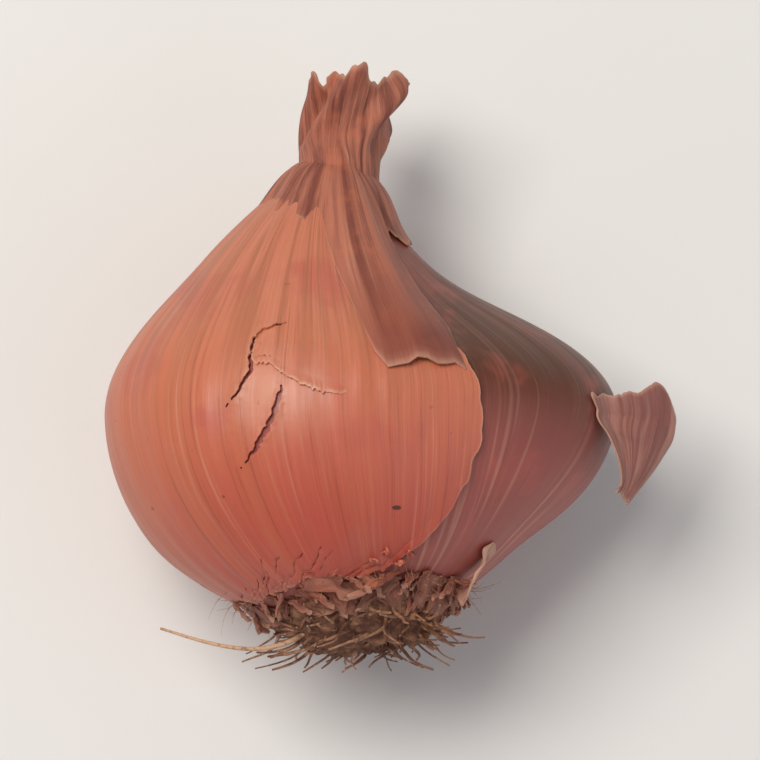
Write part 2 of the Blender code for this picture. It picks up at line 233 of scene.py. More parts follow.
# The cork's own unevenness, and the shreds of skin round it
PLATE_INNER_SHARE = 0.3
PLATE_LEAST_LIFT = 0.0001
PLATE_PIT_RATE = 30
PLATE_PIT_DEPTH = 0.00035
SHRED_TIP = 0.06
SHRED_LIFT = 0.00014
SHRED_LEAST_LIFT = 0.0001
SHRED_LEAST_RING = 0.003
SHRED_CRUMPLE = 0.0004
LONG_ROOT_RADIUS = 0.00024
CAP_GAP = 0.000002

# Places of small things on the skins, as (around, along) in degrees
DARK_SPECK = (83, 56)
DARK_SPECK_REACH = 0.00062
PALE_FACET = (117, 90)
PALE_FACET_REACH = 0.0062
TONGUE_STAIN = (66, 104)
TONGUE_STAIN_REACH = 0.0038
RUSSET_REACH = 0.0140
CURLED_BIT = (29, 45)
ORANGE_BITS = ((92, 36), (86, 38), (80, 35), (74, 37))

ROOT_SEED = 11
SHRED_SEED = 23
FIBRE_SEED = 31
BIT_SEED = 47

# The camera sees the bulb as the photograph does: from high above, the roots towards the viewer
VIEW_ELEVATION = 80
VIEW_AZIMUTH = 0
VIEW_DISTANCE = 0.52
VIEW_CENTRE = Vector((0.0010, 0.0040, 0.0150))
VIEW_WIDTH = 0.066
SENSOR = 0.036
FLOOR_SIZE = 3.0
FLOOR_GRAIN = (0.6, 0.6, 0.6)
SKY_COLOUR = (0.95, 0.96, 1.0, 1.0)


def mix(low, high, share):
    return low + (high - low) * share


def smooth(share):
    """0 to 1 with a soft start and end."""
    share = min(max(share, 0.0), 1.0)
    return share * share * (3 - 2 * share)


def bump(place, middle, half_width):
    """1 at the middle and soft down to 0 at half_width from it."""
    return smooth(1 - abs(place - middle) / half_width)


def rough(x, y=0.0, z=0.0):
    """Even noise from about -1 to 1. Where only x changes, y and z pick another line through it."""
    return noise.noise(Vector((x, y, z)))


def ring_rough(around, rate, z):
    """Noise round the bulb that closes on itself. z moves on through it."""
    return rough(rate * cos(around), rate * sin(around), z)


def torn(place, row, bay, tooth):
    """An uneven offset along a torn edge, with broad bays and small teeth of the heights given."""
    broad = rough(place * BAY_RATE, row, 0.0)
    fine = rough(place * TOOTH_RATE, row, 5.0)
    return bay * broad + tooth * fine


def teeth(place, row, rate, height):
    """A fine offset along a torn edge."""
    return height * rough(place * rate, row)


def rim_paleness(across, up, left=0, right=0, foot=0, top=0):
    """1 on the torn sides of a sheet, soft down to 0. A side's number is 1 over its pale share."""
    sides = ((across, left), (1 - across, right), (up, foot), (1 - up, top))
    return smooth(1 - min([1.0] + [away * rate for away, rate in sides if rate]))


def lobe_reach(direction, middle, radii, lean):
    """How far a lobe reaches from the bulb's middle in a direction."""
    turn = Matrix.Rotation(lean, 3, "Z")
    start = turn @ -middle
    ray = turn @ direction
    start = Vector((start.x / radii.x, start.y / radii.y, start.z / radii.z))
    ray = Vector((ray.x / radii.x, ray.y / radii.y, ray.z / radii.z))
    slant = start.dot(ray)
    square = ray.length_squared
    return (sqrt(slant * slant - square * (start.length_squared - 1)) - slant) / square


def bulb_surface(along, around):
    """The bulb's own surface: the lobes with a soft valley between them, drawn out to the tip."""
    rise = -cos(along)
    across = sin(along)
    direction = Vector((across * cos(around), rise, across * sin(around)))
    large = lobe_reach(direction, LARGE_MIDDLE, LARGE_RADII, LARGE_LEAN)
    small = lobe_reach(direction, SMALL_MIDDLE, SMALL_RADII, SMALL_LEAN)
    reach = VALLEY * log(exp(large / VALLEY) + exp(small / VALLEY))
    reach += LUMP_HEIGHT * noise.noise(direction * reach / LUMP_SIZE)
    point = direction * reach
    upper = max(rise, 0.0)
    narrow = 1 - SHOULDER_TAPER * smooth(upper)
    shift = ROOT_SHIFT * smooth(-rise) - TIP_SHIFT * smooth(upper)
    return Vector((
        point.x * narrow + shift,
        point.y + TIP_REACH * upper ** TIP_SHARPNESS,
        point.z * narrow + AXIS_HEIGHT,
    ))


def bulb_point(along, around, lift=0.0):
    """A point on the bulb, or lifted off it along the surface's own normal."""
    here = bulb_surface(along, around)
    if lift == 0.0:
        return here
    if along > pi - NORMAL_STEP:
        return here + Vector((0, lift, 0))
    if along < NORMAL_STEP:
        return here - Vector((0, lift, 0))
    upward = bulb_surface(along + NORMAL_STEP, around) - bulb_surface(along - NORMAL_STEP, around)
    sideways = bulb_surface(along, around + NORMAL_STEP) - bulb_surface(along, around - NORMAL_STEP)
    return here + upward.cross(sideways).normalized() * lift


def grain_at(along, around):
    """What the skins' fibres follow: they run from the roots to the tip."""
    return (cos(around), sin(around), along / pi)


def deselect_all():
    if bpy.context.mode != "OBJECT":
        bpy.ops.object.mode_set(mode="OBJECT")
    bpy.ops.object.select_all(action="DESELECT")


def select_only(made):
    deselect_all()
    made.select_set(True)
    bpy.context.view_layer.objects.active = made


def name_active(name):
    made = bpy.context.active_object
    made.name = name
    made.data.name = name
    return made


def start_ball(name, segments, rings):
    """A ball to shape, with its two ends on Z."""
    deselect_all()
    bpy.ops.mesh.primitive_uv_sphere_add(segments=segments, ring_count=rings, radius=1)
    return name_active(name)


def start_sheet(name, columns, rows):
    """A square sheet to shape, from -0.5 to 0.5 in X and Y."""
    deselect_all()
    bpy.ops.mesh.primitive_grid_add(x_subdivisions=columns, y_subdivisions=rows, size=1)
    return name_active(name)


def link_piece(name, data):
    made = bpy.data.objects.new(name, data)
    bpy.context.scene.collection.objects.link(made)
    return made


def set_values(made, name, kind, values):
    """Keeps one value or vector for each point, for the finish to read."""
    attribute = made.data.attributes.new(name, kind, "POINT")
    if kind == "FLOAT_VECTOR":
        attribute.data.foreach_set("vector", [part for value in values for part in value])
    else:
        attribute.data.foreach_set("value", values)


def shape_ball(made, place):
    """Moves the ball's points to place(share, around), with share from 0 at its foot to 1 at its top."""
    grains = []
    for corner in made.data.vertices:
        share = acos(max(-1.0, min(1.0, -corner.co.z))) / pi
        around = atan2(corner.co.y, corner.co.x)
        corner.co, grain = place(share, around)
        grains.append(grain)
    set_values(made, "grain", "FLOAT_VECTOR", grains)


def select_parts(made, kind, parts, wanted):
    """Enters edit mode with only those of a piece's points or faces selected that are wanted."""
    select_only(made)
    mesh = made.data
    for group in (mesh.vertices, mesh.edges, mesh.polygons):
        group.foreach_set("select", [False] * len(group))
    for part in parts:
        part.select = wanted(part)
    bpy.ops.object.mode_set(mode="EDIT")
    bpy.ops.mesh.select_mode(type=kind)


def refine(made, wanted, cuts):
    """Gives a sheet finer faces where wanted(across, up) is true."""
    def inside(face):
        return wanted(face.center.x + 0.5, face.center.y + 0.5)

    select_parts(made, "FACE", made.data.polygons, inside)
    bpy.ops.mesh.subdivide(number_cuts=cuts)
    bpy.ops.object.mode_set(mode="OBJECT")


def shape_sheet(made, place):
    """Moves the sheet's points to place(across, up), which also says how the fibres run there, how pale
    it is and whether it is torn away."""
    grains = []
    edges = []
    gone = []
    for corner in made.data.vertices:
        corner.co, grain, edge, missing = place(corner.co.x + 0.5, corner.co.y + 0.5)
        grains.append(grain)
        edges.append(edge)
        gone.append(missing)
    set_values(made, "grain", "FLOAT_VECTOR", grains)
    set_values(made, "edge", "FLOAT", edges)
    if any(gone):
        tear_away(made, gone)


def tear_away(made, gone):
    """Deletes the faces whose corners are gone, and small bits left loose, and eases the torn edges."""
    def torn_off(face):
        return any(gone[corner] for corner in face.vertices)

    select_parts(made, "FACE", made.data.polygons, torn_off)
    bpy.ops.mesh.delete(type="FACE")
    bpy.ops.mesh.select_mode(type="VERT")
    shape = bmesh.from_edit_mesh(made.data)
    drop_islands(shape)
    bmesh.update_edit_mesh(made.data)
    bpy.ops.mesh.select_all(action="DESELECT")
    bpy.ops.mesh.select_non_manifold()
    bpy.ops.mesh.vertices_smooth(factor=0.5, repeat=2)
    bpy.ops.object.mode_set(mode="OBJECT")


def drop_islands(shape):
    """Keeps only the largest connected part of a sheet."""
    left = set(shape.faces)
    islands = []
    while left:
        reached = {left.pop()}
        edge_of_it = list(reached)
        while edge_of_it:
            face = edge_of_it.pop()
            for edge in face.edges:
                for other in edge.link_faces:
                    if other in left:
                        left.discard(other)
                        reached.add(other)
                        edge_of_it.append(other)
        islands.append(reached)
    islands.sort(key=len)
    for island in islands[:-1]:
        bmesh.ops.delete(shape, geom=list(island), context="FACES")


def flatten_below(made, floor):
    """Presses what reaches below the floor flat onto it."""
    select_parts(made, "VERT", made.data.vertices, lambda corner: corner.co.z < floor)
    bpy.ops.transform.resize(value=(1, 1, 0), center_override=(0, 0, floor))
    bpy.ops.object.mode_set(mode="OBJECT")


def thicken(made, thickness):
    """Gives a sheet its wall, outwards."""
    wall = made.modifiers.new("wall", "SOLIDIFY")
    wall.thickness = thickness
    wall.offset = 1.0
    select_only(made)
    bpy.ops.object.modifier_apply(modifier=wall.name)


def dress(made, finish, slot, *nodes):
    """Smooths a finished piece, gives it its material and ties it to the frame."""
    select_only(made)
    bpy.ops.object.shade_smooth_by_angle(angle=SHARP_ANGLE)
    made.data.materials.clear()
    made.data.materials.append(finish)
    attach(made, "root")
    if nodes:
        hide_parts(*nodes)


class Wiring:
    """Adds nodes to one material and gives back the socket to link on."""

    def __init__(self, name):
        self.material = bpy.data.materials.new(name)
        self.material.use_nodes = True
        self.tree = self.material.node_tree
        self.shader = self.tree.nodes["Principled BSDF"]

    def feed(self, socket, value):
        if isinstance(value, bpy.types.NodeSocket):
            self.tree.links.new(value, socket)
        else:
            socket.default_value = value

    def set(self, **values):
        """Sets the shader's own sockets: base_color is its Base Color."""
        for key, value in values.items():
            self.feed(self.shader.inputs[key.replace("_", " ").title()], value)

    def add(self, kind, output, inputs, **choices):
        """Adds one node, makes its choices, feeds its inputs and gives back one of its outputs."""
        node = self.tree.nodes.new("ShaderNode" + kind)
        for key, value in choices.items():
            setattr(node, key, value)
        for key, value in inputs.items():
            self.feed(node.inputs[key], value)
        return node.outputs[output]

    def place(self):
        """The piece's own coordinates, in metres."""
        return self.add("TexCoord", "Object", {})

    def own(self, name, output="Vector"):
        """A value that the piece keeps for each of its points."""
        return self.add("Attribute", output, {}, attribute_name=name)

    def part(self, vector, axis):
        return self.add("SeparateXYZ", axis, {"Vector": vector})

    def stretch(self, vector, x, y, z):
        return self.add("Mapping", "Vector", {"Vector": vector, "Scale": (x, y, z)})

    def noise(self, vector, scale, detail=3.0, roughness=0.5):
        inputs = {"Vector": vector, "Scale": scale, "Detail": detail, "Roughness": roughness}
        return self.add("TexNoise", "Fac", inputs)

    def fibres(self, round_rate, along_rate, detail, roughness):
        """Noise drawn out along the skin's fibres. The rates are how fast it changes."""
        drawn = self.stretch(self.own("grain"), round_rate, round_rate, along_rate)
        return self.noise(drawn, 1.0, detail, roughness)

    def ramp(self, value, start, stop, low=0.0, high=1.0):
        """low below start, high above stop and soft between them."""
        limits = {"From Min": start, "From Max": stop, "To Min": low, "To Max": high}
        return self.add("MapRange", "Result", {"Value": value, **limits}, interpolation_type="SMOOTHSTEP")

    def times(self, first, second):
        return self.add("Math", "Value", {0: first, 1: second}, operation="MULTIPLY")

    def plus(self, first, second):
        return self.add("Math", "Value", {0: first, 1: second}, operation="ADD")

    def layers(self, colour, *tints):
        """Lays tints over a colour. Each is (tint, share), or (tint, value, start, stop, most), whose
        share is 0 where the value is at start and most where it is at stop."""
        for tint, share, *limits in tints:
            if limits:
                start, stop, most = limits
                share = self.ramp(share, start, stop, 0.0, most)
            colour = self.add("Mix", 2, {0: share, 6: rgba(colour), 7: rgba(tint)}, data_type="RGBA")
        return colour

    def near(self, place, middle, reach, squeeze=1.0):
        """1 at a point, soft down to 0 at reach from it. squeeze makes the spot narrower in Y."""
        away = self.add("VectorMath", "Vector", {0: place, 1: middle}, operation="SUBTRACT")
        away = self.stretch(away, 1.0, squeeze, 1.0)
        return self.ramp(self.add("VectorMath", "Value", {0: away}, operation="LENGTH"), reach, 0.0)

    def relief(self, height, distance, strength=1.0):
        inputs = {"Height": height, "Distance": distance, "Strength": strength}
        return self.add("Bump", "Normal", inputs)


def rgba(colour):
    """A colour for a colour socket. A linked socket is left as it is."""
    if isinstance(colour, bpy.types.NodeSocket):
        return colour
    return (*tuple(colour)[:3], 1.0)


def streaks(wiring, fine_rate, broad_rate):
    """Lengthwise fibres of the skin, fine and broad, each from 0 to 1."""
    fine = wiring.fibres(fine_rate, 2.2, detail=5.0, roughness=0.7)
    broad = wiring.fibres(broad_rate, 1.1, detail=3.0, roughness=0.6)
    return fine, broad


def spot_on_bulb(spot):
    """The point of a place given as (around, along) in degrees."""
    around, along = spot
    return bulb_point(radians(along), radians(around), PAPER_GAP + PAPER)


def copper_finish(skin):
    """The dry outermost skin: salmon to copper, with fine fibres, pale torn edges and a soft sheen."""
    wiring = Wiring("copper_skin")
    place = wiring.place()
    fine, broad = streaks(wiring, fine_rate=46.0, broad_rate=11.0)
    y = wiring.part(place, "Y")
    facet = wiring.near(place, spot_on_bulb(PALE_FACET), PALE_FACET_REACH)
    speck = wiring.near(place, spot_on_bulb(DARK_SPECK), DARK_SPECK_REACH, squeeze=2.2)
    tanned = wiring.ramp(wiring.fibres(19.0, 2.6, detail=4.0, roughness=0.65), 0.44, 0.60)
    colour = wiring.layers(
        skin.salmon,
        (skin.copper, y, -0.013, 0.006, 1.0),
        (skin.amber, wiring.part(place, "X"), -0.006, -0.021, 0.55),
        (skin.rose, wiring.noise(place, 150.0), 0.50, 0.68, 0.55),
        (skin.pale_edge, wiring.times(facet, 0.30)),
        (skin.amber, broad, 0.44, 0.68, 0.35),
        (skin.tan, wiring.times(tanned, wiring.ramp(y, -0.004, 0.012, low=0.12, high=0.62))),
        (skin.pale_edge, fine, 0.52, 0.76, 0.30),
        (skin.vein, fine, 0.45, 0.30, 0.42),
        (skin.vein, specks(wiring, place)),
        (skin.speck, speck, 0.10, 0.45, 0.85),
        (skin.pale_edge, wiring.times(wiring.own("edge", "Fac"), 0.65)),
    )
    return finish_skin(wiring, colour, fine, broad, roughness=0.34, depth=0.00009)


def mauve_finish(skin):
    """The tight skin: pinkish mauve, olive brown towards the neck that is partly painted shade, with thin
    pale lines from the roots.
    """
    wiring = Wiring("tight_skin")
    place = wiring.place()
    fine, broad = streaks(wiring, fine_rate=40.0, broad_rate=15.0)
    x = wiring.part(place, "X")
    y = wiring.part(place, "Y")
    patchy = wiring.ramp(wiring.fibres(5.0, 3.0, detail=4.0, roughness=0.6), 0.30, 0.50, low=0.65)
    # Painted shade: the olive brown towards the neck and on the right is darker than the skin's own brown,
    # to stand in for the shade that falls there.
    brown = wiring.times(wiring.ramp(y, -0.007, 0.004), wiring.ramp(x, -0.002, 0.008))
    ribs = wiring.times(wiring.ramp(broad, 0.56, 0.66), wiring.ramp(y, 0.004, -0.012, low=0.25))
    colour = wiring.layers(
        skin.mauve,
        (skin.olive_and_shade, wiring.times(brown, patchy)),
        (skin.rose, wiring.noise(place, 170.0, roughness=0.55), 0.50, 0.70, 0.45),
        (skin.pale_edge, wiring.times(ribs, 0.28)),
        (skin.pale_edge, fine, 0.54, 0.76, 0.24),
        (skin.vein, fine, 0.45, 0.28, 0.5),
        (skin.vein, specks(wiring, place)),
    )
    return finish_skin(wiring, colour, fine, broad, roughness=0.38, depth=0.00007)


def specks(wiring, place):
    """The share of small dark spots, few and uneven."""
    spots = wiring.ramp(wiring.noise(place, 950.0, detail=2.0), 0.70, 0.76)
    area = wiring.ramp(wiring.noise(place, 90.0, detail=2.0), 0.5, 0.62)
    return wiring.times(wiring.times(spots, area), 0.6)


def finish_skin(wiring, colour, fine, broad, roughness, depth):
    """Wires the fibres into gloss and relief, and sets what is the same all over."""
    height = wiring.plus(wiring.times(fine, 0.6), broad)
    wrinkled = wiring.fibres(9.0, 44.0, detail=2.0, roughness=0.5)
    where = wiring.ramp(wiring.noise(wiring.place(), 130.0, detail=2.0), 0.48, 0.66, low=0.05, high=0.75)
    height = wiring.plus(height, wiring.times(wrinkled, where))
    wiring.set(
        base_color=colour,
        roughness=wiring.ramp(fine, 0.3, 0.7, low=roughness, high=roughness + 0.22),
        normal=wiring.relief(height, depth, strength=0.9),
        coat_weight=0.08,
        coat_roughness=0.3,
        subsurface_weight=0.12,
        subsurface_scale=0.0012,
        subsurface_radius=(1.0, 0.35, 0.2),
    )
    return wiring.material


def paper_finish(name, light, dark, skin, rate, warmth=0.45, stained=False):
    """Dry papery leaf base: matt, with fibres along it, darker folds and bleached edges."""
    wiring = Wiring(name)
    place = wiring.place()
    fine, broad = streaks(wiring, rate, rate / 4)
    cloudy = wiring.noise(place, 260.0, roughness=0.6)
    colour = wiring.layers(
        dark,
        (light, broad, 0.36, 0.62, 1.0),
        (skin.amber, cloudy, 0.50, 0.70, warmth),
        (skin.pale_edge, fine, 0.54, 0.74, 0.35),
        (skin.vein, fine, 0.44, 0.30, 0.6),
    )
    if stained:
        russet = wiring.near(place, spot_on_bulb(TONGUE_STAIN), RUSSET_REACH)
        stain = wiring.near(place, spot_on_bulb(TONGUE_STAIN), TONGUE_STAIN_REACH)
        stain = wiring.times(stain, wiring.ramp(cloudy, 0.35, 0.55, low=0.45, high=0.85))
        colour = wiring.layers(colour, (skin.russet, wiring.times(russet, 0.9)), (skin.vein, stain))
    edge = wiring.times(wiring.own("edge", "Fac"), 0.45)
    wiring.set(
        base_color=wiring.layers(colour, (skin.pale_edge, edge)),
        roughness=wiring.ramp(fine, 0.3, 0.7, low=0.52, high=0.75),
        normal=wiring.relief(wiring.plus(fine, broad), 0.00012),
        subsurface_weight=0.15,
        subsurface_scale=0.0008,
        subsurface_radius=(1.0, 0.5, 0.3),
        sheen_weight=0.06,
        sheen_roughness=0.5,
    )
    return wiring.material


def cork_finish(roots):
    """The root plate: rough brown cork."""
    wiring = Wiring("root_cork")
    place = wiring.place()
    coarse = wiring.noise(place, 900.0, detail=6.0, roughness=0.7)
    broad = wiring.noise(place, 260.0)
    colour = wiring.layers(
        roots.bark, (roots.root, coarse, 0.38, 0.68, 1.0), (roots.bark, broad, 0.50, 0.64, 0.8))
    normal = wiring.relief(wiring.plus(coarse, broad), 0.0003)
    wiring.set(base_color=colour, roughness=0.85, normal=normal)
    return wiring.material


def root_finish(roots, name, share_pale):
    """Dry roots and fibres: tan to brown, a little glossy."""
    wiring = Wiring(name)
    place = wiring.place()
    tone = wiring.noise(place, 420.0, roughness=0.6)
    fine = wiring.noise(place, 2600.0, roughness=0.6)
    colour = wiring.layers(
        roots.bark,
        (roots.root, tone, 0.38, 0.62, 1.0),
        (roots.pale_root, fine, 0.70 - share_pale, 1.0 - share_pale, 1.0),
    )
    wiring.set(base_color=colour, roughness=0.6, normal=wiring.relief(fine, 0.00006, strength=0.8))
    return wiring.material


def colour_setting(name, description, default):
    return FloatVectorProperty(
        name=name, description=description, subtype="COLOR", default=default, min=0, max=1)


def number_setting(name, description, default, smallest, largest, **more):
    return FloatProperty(
        name=name, description=description, default=default, min=smallest, max=largest, **more)


def length_setting(name, description, default, smallest, largest, precision=5):
    return number_setting(
        name, description, default, smallest, largest, precision=precision,
        subtype="DISTANCE", unit="LENGTH")


def count_setting(name, description, default, smallest, largest):
    return IntProperty(name=name, description=description, default=default, min=smallest, max=largest)


class SkinSettings(bpy.types.PropertyGroup):
    """Colours of the skins and how finely they are modelled."""

    salmon: colour_setting("Salmon", "Outer skin near the roots", (0.52, 0.082, 0.052))
    copper: colour_setting("Copper", "Outer skin towards the neck", (0.60, 0.185, 0.100))
    tan: colour_setting("Tan", "Brown streaks of the outer skin towards the neck", (0.36, 0.125, 0.055))
    amber: colour_setting(
        "Amber", "Outer skin on its flank and along its broad fibres", (0.58, 0.150, 0.066))
    rose: colour_setting("Rose", "Pink clouds in the skins", (0.50, 0.100, 0.075))
    mauve: colour_setting("Mauve", "Tight skin of the small lobe", (0.36, 0.078, 0.062))
    # The olive brown is partly the skin's own colour and partly painted shade.
    olive_and_shade: colour_setting("Olive brown", "Tight skin towards the neck", (0.095, 0.026, 0.008))
    pale_edge: colour_setting("Pale edge", "Bleached torn edges and pale fibres", (0.74, 0.42, 0.29))
    vein: colour_setting("Vein", "Dark fibres and specks", (0.16, 0.030, 0.016))
    speck: colour_setting("Speck", "The one large dark speck", (0.035, 0.014, 0.010))
    paper: colour_setting("Paper", "Light side of the neck's dry papers", (0.46, 0.150, 0.088))
    paper_shade: colour_setting(
        "Paper shade", "Dark side of the neck's dry papers", (0.22, 0.055, 0.032))
    russet: colour_setting("Russet", "Lower part of the neck's tongue", (0.27, 0.062, 0.034))
    frayed: colour_setting(
        "Frayed skin", "Light side of the frayed skin round the roots", (0.33, 0.095, 0.055))
    pale_paper: colour_setting("Pale paper", "Loose scrap of skin", (0.42, 0.195, 0.155))
    pale_paper_shade: colour_setting("Pale paper shade", "Folds of the loose scrap", (0.26, 0.088, 0.070))
    thickness: length_setting("Thickness", "Wall of a dry skin", PAPER, 0.00005, 0.0006)
    crack_width: length_setting("Crack width", "Widest opening of the cracks", CRACK_WIDTH, 0.0, 0.001)


class NeckSettings(bpy.types.PropertyGroup):
    """Sizes of the dry neck."""

    turns: number_setting("Turns", "How often the papers go round the stub", 2.7, 1.2, 4.0)
    crumple: number_setting(
        "Crumple", "Unevenness of the papers, as a share of the stub's radius", 0.10, 0.0, 0.3,
        subtype="FACTOR")


class RootSettings(bpy.types.PropertyGroup):
    """Number, sizes and colours of the roots."""

    count: count_setting("Roots", "Number of roots on the plate", 130, 10, 600)
    length: length_setting("Length", "Typical length of a root", 0.0040, 0.001, 0.02, precision=4)
    radius: length_setting(
        "Radius", "Radius of a root where it leaves the plate", 0.00020, 0.00005, 0.001)
    spread: number_setting(
        "Spread", "How far from the plate's middle the roots stand", radians(21), 0.1, 0.6,
        subtype="ANGLE")
    shreds: count_setting("Shreds", "Frayed strips of skin round the plate", 150, 0, 300)
    root: colour_setting("Root", "Dry root", (0.36, 0.165, 0.090))
    bark: colour_setting("Bark", "Cork of the root plate", (0.13, 0.046, 0.026))
    pale_root: colour_setting("Pale root", "Pale stretches of the roots", (0.62, 0.38, 0.23))
    fibres: count_setting("Fibres", "Fine hairs along the torn edges", 90, 0, 400)
    fibre_radius: length_setting(
        "Fibre radius", "Radius of a hair where it starts", 0.000028, 0.00001, 0.0002, precision=6)


class StageSettings(bpy.types.PropertyGroup):
    """Floor, light and camera."""

    floor: colour_setting("Floor", "Colour of the floor", (0.80, 0.79, 0.77))
    key: number_setting(
        "Key light", "Power of the large light at the upper left", 1.95, 0.0, 100.0,
        subtype="POWER", unit="POWER")
    fill: number_setting(
        "Fill light", "Power of the soft light on the right", 0.30, 0.0, 100.0,
        subtype="POWER", unit="POWER")
    sky: number_setting("Surroundings", "Strength of the even light all round", 0.32, 0.0, 5.0)


def surface_relief(along, around):
    """Ribs and dents of the tight skin, in metres."""
    ribs = ring_rough(around, RIB_RATES[0], along * RIB_RATES[1])
    dents = ring_rough(around, DENT_RATES[0], along * DENT_RATES[1])
    return (RIB_HEIGHT * ribs + DENT_DEPTH * dents) * sin(along)


def paper_lift(along, around):
    """How far the copper skin's inner side lies off the bulb."""
    sway = ring_rough(around, SWAY_RATES[0], along * SWAY_RATES[1])
    return PAPER_GAP + surface_relief(along, around) + SKIN_SWAY * sway


def tight_skin_place(share, around):
    along = pi * share
    point = bulb_point(along, around, TIGHT_SKIN_LIFT + surface_relief(along, around))
    return point, grain_at(along, around)


class SHALLOT_OT_bulb(bpy.types.Operator):
    """Models the fleshy bulb in its tight skin, pressed flat where it rests"""

    bl_idname = "shallot.bulb"
    bl_label = "Bulb in its tight skin"

    def execute(self, context):
        made = start_ball("tight_skin", 240, 150)
        shape_ball(made, tight_skin_place)
        flatten_below(made, 0.0)
        dress(made, mauve_finish(context.scene.shallot_skin), "bulb_skin", "bulb")
        return {"FINISHED"}


def distance_to_line(around, along, line):
    """How far to one side of a crack a place lies, in metres, and where along the crack, from 0 to 1."""
    metres_round = LARGE_RADII.x * sin(along)
    metres_along = LARGE_RADII.y
    nearest = 1.0
    where = 0.0
    pieces = len(line) - 1
    for index in range(pieces):
        start = [radians(angle) for angle in line[index]]
        stop = [radians(angle) for angle in line[index + 1]]
        first = Vector(((around - start[0]) * metres_round, (along - start[1]) * metres_along))
        whole = Vector(((stop[0] - start[0]) * metres_round, (stop[1] - start[1]) * metres_along))
        share = min(max(first.dot(whole) / whole.length_squared, 0.0), 1.0)
        away = first - whole * share
        if away.length < abs(nearest):
            nearest = copysign(away.length, whole.x * away.y - whole.y * away.x)
            where = (index + share) / pieces
    return nearest, where


def crack_at(around, along, width):
    """Whether a crack opens at a place, and how close its lips are, from 0 to 1."""
    lips = 0.0
    for row, line in enumerate(CRACKS):
        jag = CRACK_JAG * rough(along * CRACK_JAG_RATE, around * CRACK_JAG_RATE, row)
        aside, where = distance_to_line(around, along, line)
        gap = abs(aside + jag)
        faded = smooth(CRACK_OPENS * where) * smooth(CRACK_CLOSES * (1 - where))
        if gap < width / 2 * faded:
            return True, 1.0
        lips = max(lips, smooth(1 - gap / LIP_WIDTH) * faded)
    return False, lips


def beside_crack(around, along):
    """Whether a place is so near a crack that the skin needs finer faces."""
    return min(abs(distance_to_line(around, along, line)[0]) for line in CRACKS) < CRACK_DETAIL


def plate_edge(around):
    """Where the root plate ends: ragged, and further out on the left than on the right."""
    edge = PLATE_EDGE - PLATE_BIAS * cos(around)
    return edge + torn(cos(around), 11.0, *PLATE_TEAR) + torn(sin(around), 12.0, *PLATE_TEAR)


def outer_skin_spot(across, up):
    """Angles of a place on the outer skin, with the solid's torn outline and finer teeth on it."""
    left_edge = OUTER_SKIN_LEFT + torn(up, 2.0, *LEFT_TEAR)
    right_edge = OUTER_SKIN_RIGHT + torn(up, 1.0, *RIGHT_TEAR)
    right_edge += OUTER_SKIN_SWEEP * exp(-SWEEP_RATE * up)
    right_edge += OUTER_SKIN_LEAN * smooth((up - LEAN_START) / LEAN_LENGTH)
    right_edge += teeth(up, 1.0, *RIGHT_TEETH)
    right_edge += teeth(up, 4.0, *RIGHT_NOTCHES)
    around = mix(left_edge, right_edge, across)
    foot = plate_edge(around) + OUTER_SKIN_FOOT_GAP + torn(across, 3.0, *FOOT_TEAR)
    foot += teeth(across, 2.0, *FOOT_TEETH)
    shoulder = OUTER_SKIN_SHOULDER + torn(across, 4.0, *SHOULDER_TEAR)
    return mix(foot, shoulder, up), around


class SHALLOT_OT_outer_skin(bpy.types.Operator):
    """Models the dry copper skin on the large lobe, torn along the valley and cracked"""

    bl_idname = "shallot.outer_skin"
    bl_label = "Outer skin"

    def execute(self, context):
        skin = context.scene.shallot_skin

        def place(across, up):
            along, around = outer_skin_spot(across, up)
            gone, lips = crack_at(around, along, skin.crack_width)
            free_edge = smooth(1 - (1 - across) / FREE_EDGE)
            wave = 0.5 + 0.5 * rough(up * EDGE_WAVE_RATE, 3.0, 1.0)
            lift = paper_lift(along, around) + EDGE_LIFT * free_edge * wave + LIP_LIFT * lips
            pale = rim_paleness(across, up, left=48, right=170, foot=90)
            edge = max(pale * EDGE_PALENESS * (0.4 + wave), lips ** 4 * LIP_PALENESS)
            return bulb_point(along, around, lift), grain_at(along, around), edge, gone

        def needs_detail(across, up):
            along, around = outer_skin_spot(across, up)
            return beside_crack(around, along)

        made = start_sheet("copper_skin", 200, 150)
        refine(made, needs_detail, FINE_CUTS)
        refine(made, lambda across, up: across > FINE_EDGE, FINE_CUTS - 1)
        shape_sheet(made, place)
        thicken(made, skin.thickness)
        dress(made, copper_finish(skin), "outer_skin", "outer_skin")
        return {"FINISHED"}


def flake_foot(around):
    """Where the raised flake's torn lower edge runs."""
    left = degrees(around)
    for start, stop in zip(FLAKE_FOOT, FLAKE_FOOT[1:]):
        if left >= stop[0]:
            break
    share = (start[0] - left) / (start[0] - stop[0])
    edge = radians(mix(start[1], stop[1], share)) + teeth(around, 8.0, *FLAKE_TEETH)
    return edge + teeth(around, 9.0, *FLAKE_NOTCHES)


def flake_place(across, up):
    """The flake lies on the copper skin along its torn foot, and sinks into it above and on the right."""
    left_edge = radians(FLAKE_FOOT[0][0]) + teeth(up, 6.0, *FLAKE_SIDE_TEETH)
    around = mix(left_edge, radians(FLAKE_FOOT[-1][0]), across)
    along = mix(flake_foot(around), FLAKE_TOP, up)
    sunk = smooth((along - FLAKE_SINKS) / FLAKE_SINK_LENGTH)
    sunk = max(sunk, smooth((FLAKE_FADES - around) / FLAKE_FADE_WIDTH))
    step = FLAKE_THICKNESS * FLAKE_CURL * smooth(1 - up * 6) - FLAKE_SINK * FLAKE_THICKNESS * sunk
    lift = paper_lift(along, around) + PAPER + step
    uneven = 0.6 + 0.8 * rough(around * FLAKE_PALENESS_RATE, 2.0)
    edge = rim_paleness(across, up, left=60, foot=16) * uneven
    return bulb_point(along, around, lift), grain_at(along, around), edge, False


